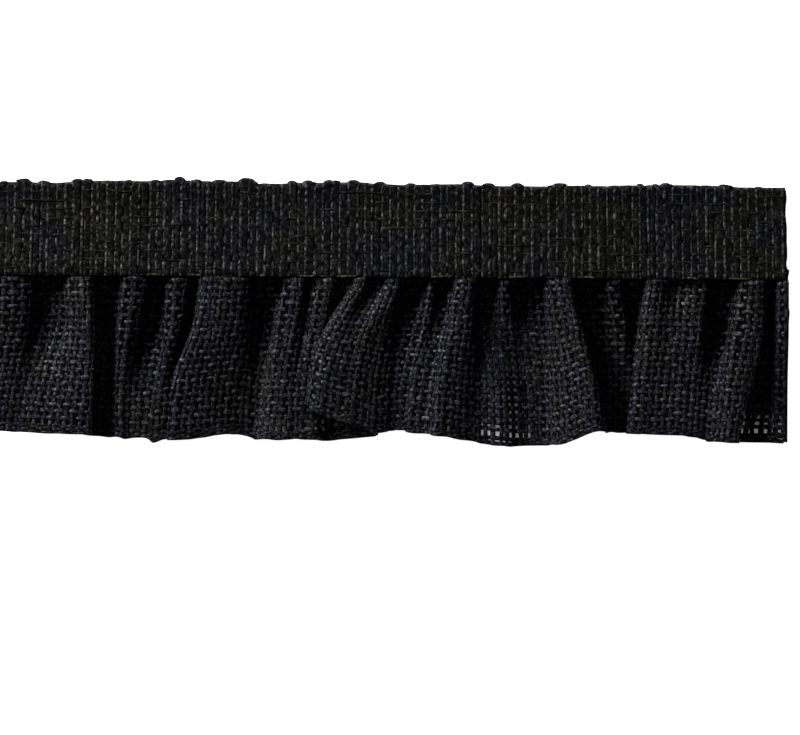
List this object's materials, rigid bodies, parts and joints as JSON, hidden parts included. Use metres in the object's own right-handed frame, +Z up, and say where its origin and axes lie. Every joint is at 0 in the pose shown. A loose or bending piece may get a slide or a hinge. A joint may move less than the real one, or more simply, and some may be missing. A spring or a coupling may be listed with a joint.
{
  "type": "elastic ruffle trim",
  "caption": "Narrow ribbed elastic band with a gathered open-weave cloth ruffle along its lower edge, a cut length of sewing trim lying flat.",
  "frame": {"origin": "middle of the trim's footprint, on the surface that it lies on", "axes": "+X along the trim, +Y towards the band's free edge, +Z up off the surface, which is the side that shows"},
  "size_m": [0.0856, 0.028, 0.0048],
  "materials": {
    "elastic": "black rib-woven elastic, matt with a faint sheen along each rib",
    "ruffle_cloth": "black open plain-weave polyester, slightly bluish sheen on the folds"
  },
  "bodies": {
    "root": {"elastic_band": "elastic", "ruffle": "ruffle_cloth"}
  },
  "joints": []
}
